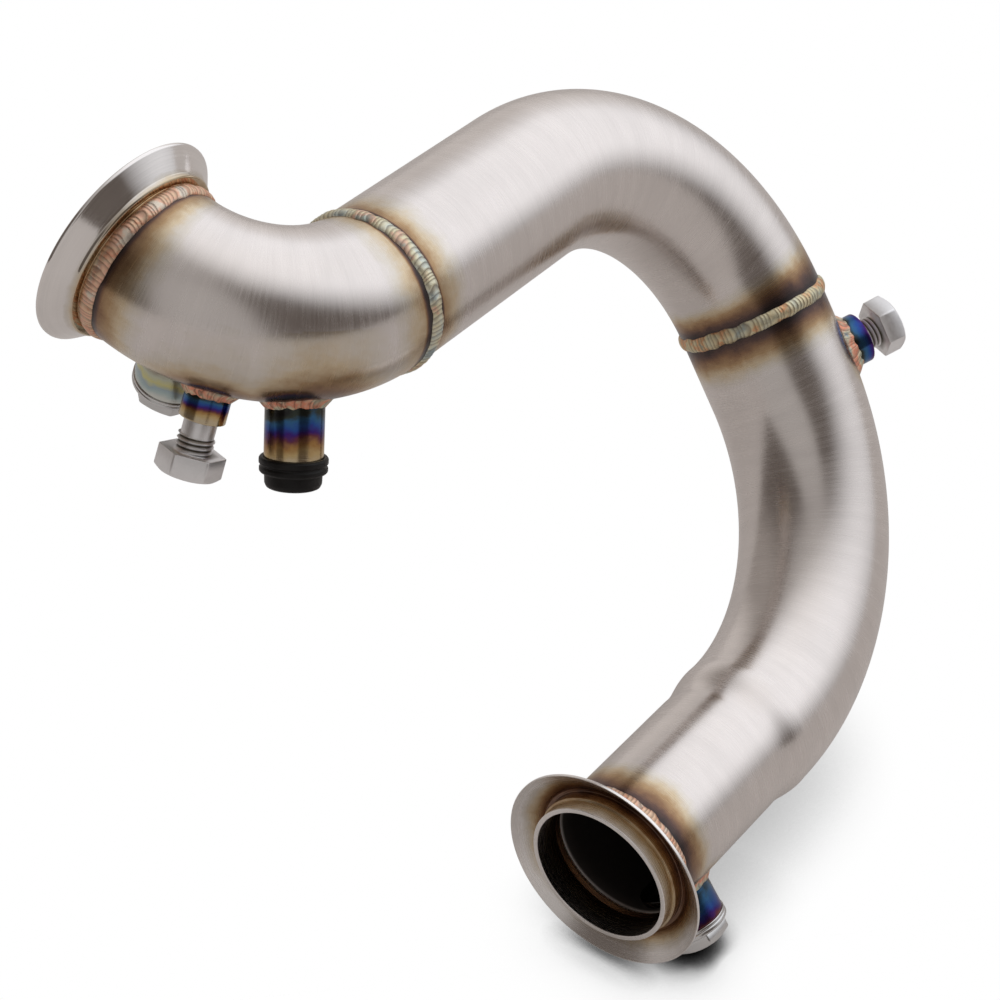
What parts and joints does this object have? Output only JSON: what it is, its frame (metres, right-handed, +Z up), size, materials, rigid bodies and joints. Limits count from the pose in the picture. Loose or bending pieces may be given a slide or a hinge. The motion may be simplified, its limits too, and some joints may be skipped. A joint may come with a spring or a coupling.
{
  "type": "turbo downpipe",
  "caption": "Bent stainless exhaust downpipe with a clamp flange at each end, welded sensor bosses with plugs and bolts, and a capped pressure take-off pipe.",
  "frame": {"origin": "centre of the outlet mouth, in the plane of the outlet flange's lip", "axes": "-Y out of the outlet, along the outlet bore; Z up when the outlet run lies level; the inlet faces -X and upwards"},
  "size_m": [0.2524, 0.3423, 0.3154],
  "materials": {
    "tube_steel": "stainless tube brushed round its girth, with brown, purple and blue heat tint beside the welds",
    "flange_steel": "machined stainless, fine turning marks, satin",
    "weld_bead": "rippled welding bead with straw, pink and blue oxide colours",
    "boss_weld": "rippled fillet weld with orange-pink oxide colours",
    "tinted_boss": "turned stainless with blue, purple and brown heat tint",
    "tinted_pipe": "drawn stainless pipe with blue to gold heat tint away from its weld",
    "plated_bolt": "zinc-plated steel, pale and slightly matt",
    "plug_steel": "turned and plated steel, bright collar",
    "washer_steel": "soft crush washer, plain and bright",
    "cap_rubber": "black moulded rubber, matt"
  },
  "bodies": {
    "root": {"inlet_flange": "flange_steel", "inlet_flange_weld": "weld_bead", "inlet_elbow": "tube_steel", "elbow_weld": "weld_bead", "upper_pipe": "tube_steel", "middle_weld": "weld_bead", "lower_pipe": "tube_steel", "outlet_weld": "weld_bead", "outlet_flange": "flange_steel", "front_sensor_boss": "tinted_boss", "front_sensor_weld": "boss_weld", "front_sensor_bolt": "plated_bolt", "pressure_pipe": "tinted_pipe", "pressure_pipe_weld": "boss_weld", "pressure_pipe_cap": "cap_rubber", "inlet_oxygen_boss": "tinted_boss", "inlet_oxygen_weld": "boss_weld", "inlet_oxygen_washer": "washer_steel", "inlet_oxygen_plug": "plug_steel", "rear_sensor_boss": "tinted_boss", "rear_sensor_weld": "boss_weld", "rear_sensor_bolt": "plated_bolt", "outlet_oxygen_boss": "tinted_boss", "outlet_oxygen_weld": "boss_weld", "outlet_oxygen_washer": "washer_steel", "outlet_oxygen_plug": "plug_steel"}
  },
  "joints": []
}
